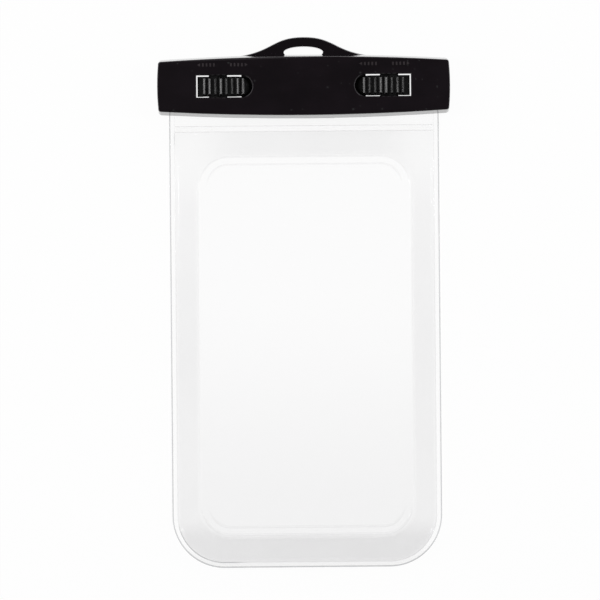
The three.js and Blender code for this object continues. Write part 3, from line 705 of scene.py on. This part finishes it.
def zip_sheet(name, half_length, profile, material):
    """One half of the zip as an open strip: half its profile, from its rim to its middle, mirrored."""
    points = profile + [(-across, z) for across, z in reversed(profile[:-1])]
    vertices = [(x, ZIP_Y + across, z) for x in (-half_length, half_length) for across, z in points]
    count = len(points)
    faces = [(i, i + 1, count + i + 1, count + i) for i in range(count - 1)]
    return add_mesh(name, vertices, faces, material, smooth=False)


def barred_arrow(length, height, direction, centre):
    """Outlines of a row of upright bars with an arrowhead at its end, pointing along direction."""
    bars = 4
    head = height * 0.9
    pitch = (length - head) / bars
    bar = pitch * 0.45
    end, side = length / 2, height / 2
    outlines = []
    for left in (-end + i * pitch for i in range(bars)):
        outlines.append([(left, -side), (left + bar, -side), (left + bar, side), (left, side)])
    outlines.append([(end - head, -side), (end, 0), (end - head, side)])
    placed = [[(centre[0] + direction * x, centre[1] + y) for x, y in points] for points in outlines]
    return placed if direction > 0 else [points[::-1] for points in placed]


def plates(outlines, low, high):
    """Vertices and faces of plates that stand on the outlines, from the height low to high."""
    vertices, faces = [], []
    for points in outlines:
        start, count = len(vertices), len(points)
        for z in (low, high):
            vertices += [(x, y, z) for x, y in points]
        faces.append(tuple(start + count + i for i in range(count)))
        faces.append(tuple(start + i for i in reversed(range(count))))
        faces += [(start + i, start + (i + 1) % count, start + count + (i + 1) % count,
                   start + count + i) for i in range(count)]
    return vertices, faces


# Operators


class POUCH_OT_clip(bpy.types.Operator):
    """Dresses the two clip covers and the plate inside them in black moulded plastic"""

    bl_idname = "pouch.clip"
    bl_label = "Clip covers"

    def execute(self, context):
        clip = context.scene.pouch_clip
        gloss = black_plastic(
            "clip_black", clip.colour, roughness=0.3, grain=0.004 * MM,
            polished_below=CLIP_HIGH.z - clip.edge_round * 2, edge_highlight=clip.edge_highlight_colour)
        plain = black_plastic("plate_black", clip.colour, roughness=0.5, grain=0.006 * MM)
        dress("front_cover", gloss, clip.edge_round)
        dress("back_cover", gloss, clip.edge_round)
        dress("front_inner_plate", plain)
        return {"FINISHED"}


class POUCH_OT_latches(bpy.types.Operator):
    """Dresses the two ribbed sliding latches"""

    bl_idname = "pouch.latches"
    bl_label = "Sliding latches"

    def execute(self, context):
        clip = context.scene.pouch_clip
        black = black_plastic(
            "latch_black", clip.latch_colour, roughness=0.1, grain=0.001 * MM, shine=0.5,
            streaks=0.26)
        for node in ("left_latch", "right_latch"):
            dress(node, black)
        return {"FINISHED"}


class POUCH_OT_marks(bpy.types.Operator):
    """Adds the faint moulded arrows over the latches, which show the way they slide"""

    bl_idname = "pouch.marks"
    bl_label = "Moulded arrows"

    def execute(self, context):
        clip = context.scene.pouch_clip
        # Painted highlight: the arrows are a lighter black, in place of the light they catch.
        highlit = black_plastic("mark_black", clip.mark_highlight_colour, roughness=0.3, grain=0.002 * MM)
        length, height, sunk = 6.9 * MM, 1.3 * MM, 0.1 * MM
        line_y = CLIP_HIGH.y - 4.1 * MM
        outer_x, inner_x = 38.1 * MM, 25.2 * MM
        outlines = []
        for side in (-1, 1):
            for x, way in ((outer_x, 1), (inner_x, -1)):
                outlines += barred_arrow(length, height, side * way, (side * x, line_y))
        vertices, faces = plates(outlines, CLIP_HIGH.z - sunk, CLIP_HIGH.z + clip.mark_height)
        marks = add_mesh("slide_arrows", vertices, faces, highlit, smooth=False)
        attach(marks, "front")
        return {"FINISHED"}


class POUCH_OT_films(bpy.types.Operator):
    """Makes the bag's two clear films with their weld, panel and soft ripples"""

    bl_idname = "pouch.films"
    bl_label = "Clear films"

    def execute(self, context):
        film = context.scene.pouch_film
        front_look = clear_film("film_front", film, strength=1.0)
        back_look = clear_film("film_back", film, strength=0.8)
        front = film_sheet("front_film_sheet", film, 1, front_look)
        back = film_sheet("back_film_sheet", film, -1, back_look)
        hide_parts("front_film")
        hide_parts("back_film")
        hinge_y = HINGE["pos_m"][1]
        hinge_y - 2.2 * MM
        hinge_y + 0.1 * MM
        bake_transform(front)
        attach(back, "back")
        return {"FINISHED"}


class POUCH_OT_zip(bpy.types.Operator):
    """Makes the two strips of the press-to-close zip, a rib and a groove"""

    bl_idname = "pouch.zip"
    bl_label = "Zip strips"

    def execute(self, context):
        look = clear_strip("clear_strip")
        room = 0.3 * MM
        to_weld = BAG_HIGH.x - context.scene.pouch_film.weld_width - room
        for name, node, profile in (("zip_rib_sheet", "zip_rib_strip", rib_profile()),
                                    ("zip_groove_sheet", "zip_groove_strip", groove_profile())):
            strip = zip_sheet(name, to_weld, profile, look)
            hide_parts(node)
            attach(strip, "back")
        return {"FINISHED"}


class POUCH_OT_seal(bpy.types.Operator):
    """Dresses the rubber seal that the films are pressed on"""

    bl_idname = "pouch.seal"
    bl_label = "Seal"

    def execute(self, context):
        dress("seal_gasket", soft_rubber("seal_rubber", context.scene.pouch_clip.seal_colour))
        return {"FINISHED"}


# What the lamps point at, and the name, place, share of the power and size of each
LAMP_TARGET = Vector((0, -0.08, 0))
LAMPS = (("left_lamp", (-0.72, 0.05, 0.68), 1.0, (0.14, 0.6)),
         ("right_lamp", (0.75, 0.05, 0.66), 0.8, (0.14, 0.6)),
         ("back_lamp", (0.1, 0.85, 0.55), 1.0, (0.9, 0.3)))


class POUCH_OT_stage(bpy.types.Operator):
    """Sets the pale floor, the studio light and the camera at the picture's angle"""

    bl_idname = "pouch.stage"
    bl_label = "Stage"

    def camera(self, context, stage):
        """Looks straight down on the clip, which lies in the picture where clip_px says."""
        turn = stage.photo_turn
        right = Vector((math.cos(turn), -math.sin(turn), 0))
        up = Vector((math.sin(turn), math.cos(turn), 0))
        towards = Vector((0, 0, 1))
        per_px = MM / stage.photo_scale
        clip_right = (stage.clip_px[0] - stage.photo_size / 2) * per_px
        clip_up = (stage.photo_size / 2 - stage.clip_px[1]) * per_px
        spot = towards * (CLIP_HIGH.z + stage.camera_distance) - right * clip_right - up * clip_up
        data = bpy.data.cameras.new("camera")
        data.lens = data.sensor_width * stage.camera_distance / (stage.photo_size * per_px)
        data.clip_start, data.clip_end = 0.05, 20
        camera = bpy.data.objects.new("camera", data)
        context.scene.collection.objects.link(camera)
        camera.matrix_world = Matrix.Translation(spot) @ Matrix(
            (right, up, towards)).transposed().to_4x4()
        context.scene.camera = camera

    def lamp(self, context, name, place, power, size):
        data = bpy.data.lights.new(name, "AREA")
        data.shape = "RECTANGLE"
        data.energy = power
        data.size, data.size_y = size
        lamp = bpy.data.objects.new(name, data)
        context.scene.collection.objects.link(lamp)
        lamp.location = place
        lamp.rotation_euler = (LAMP_TARGET - Vector(place)).to_track_quat("-Z", "Y").to_euler()

    def world(self, context, stage):
        """A studio that the camera sees as white, and that lights the pouch most from the sides."""
        world = bpy.data.worlds.new("studio")
        world.use_nodes = True
        context.scene.world = world
        look = Look("studio", world.node_tree)
        _, _, height = look.parts("Generated")
        tone = stage.horizon + height.between(0.15, 0.95) * (stage.zenith - stage.horizon)
        seen = look.value("ShaderNodeLightPath", "Is Camera Ray")
        look.show(look.node("ShaderNodeBackground", values={
            "Color": (1, 1, 1, 1), "Strength": seen + (1.0 - seen) * tone}), "ShaderNodeOutputWorld")

    def floor(self):
        """A pale floor that looks white, straight or through the film, with a trace of shadow."""
        look = Look("pale_floor")
        rays = look.node("ShaderNodeLightPath").outputs
        straight, glossy, through = (
            Value(look.tree, rays[name])
            for name in ("Is Camera Ray", "Is Glossy Ray", "Is Transmission Ray"))
        plain = look.node("ShaderNodeBsdfDiffuse", values={"Color": (0.97, 0.97, 0.97, 1)})
        glow = look.node("ShaderNodeEmission", values={"Color": (1, 1, 1, 1), "Strength": 1.0})
        trace = 0.04
        white = straight.most(glossy).most(through) * (1.0 - trace)
        look.show(look.node("ShaderNodeMixShader", values={
            0: white, 1: plain.outputs[0], 2: glow.outputs[0]}))
        half, z = 3.0, -0.02 * MM
        corners = [(-half, -half, z), (half, -half, z), (half, half, z), (-half, half, z)]
        floor = add_mesh("floor", corners, [(0, 1, 2, 3)], look.material, smooth=False)

    def execute(self, context):
        stage = context.scene.pouch_stage
        context.scene.view_settings.view_transform = "Standard"
        self.camera(context, stage)
        self.world(context, stage)
        self.floor()
        for name, place, share, size in LAMPS:
            self.lamp(context, name, place, stage.lamp_power * share, size)
        return {"FINISHED"}


class POUCH_PT_panel(bpy.types.Panel):
    """Lists the pouch's pieces and their settings"""

    bl_idname = "POUCH_PT_panel"
    bl_label = "Waterproof pouch"
    bl_space_type = "VIEW_3D"
    bl_region_type = "UI"
    bl_category = "Pouch"

    def draw(self, context):
        for operator in OPERATORS:
            self.layout.operator(operator.bl_idname)
        for settings in (context.scene.pouch_film, context.scene.pouch_clip,
                         context.scene.pouch_stage):
            box = self.layout.box()
            for name in settings.__annotations__:
                box.prop(settings, name)


OPERATORS = (POUCH_OT_stage, POUCH_OT_clip, POUCH_OT_latches, POUCH_OT_marks, POUCH_OT_films,
             POUCH_OT_zip, POUCH_OT_seal)
SETTINGS = {
    "pouch_film": PouchFilmSettings,
    "pouch_clip": PouchClipSettings,
    "pouch_stage": PouchStageSettings,
}


def register():
    for cls in (*SETTINGS.values(), *OPERATORS, POUCH_PT_panel):
        bpy.utils.register_class(cls)
    for name, cls in SETTINGS.items():
        setattr(bpy.types.Scene, name, PointerProperty(type=cls))


def unregister():
    for name in SETTINGS:
        delattr(bpy.types.Scene, name)
    for cls in (POUCH_PT_panel, *reversed(OPERATORS), *SETTINGS.values()):
        bpy.utils.unregister_class(cls)


def main():
    register()
    for operator in OPERATORS:
        group, name = operator.bl_idname.split(".")
        getattr(getattr(bpy.ops, group), name)()


if __name__ == "__main__":
    main()
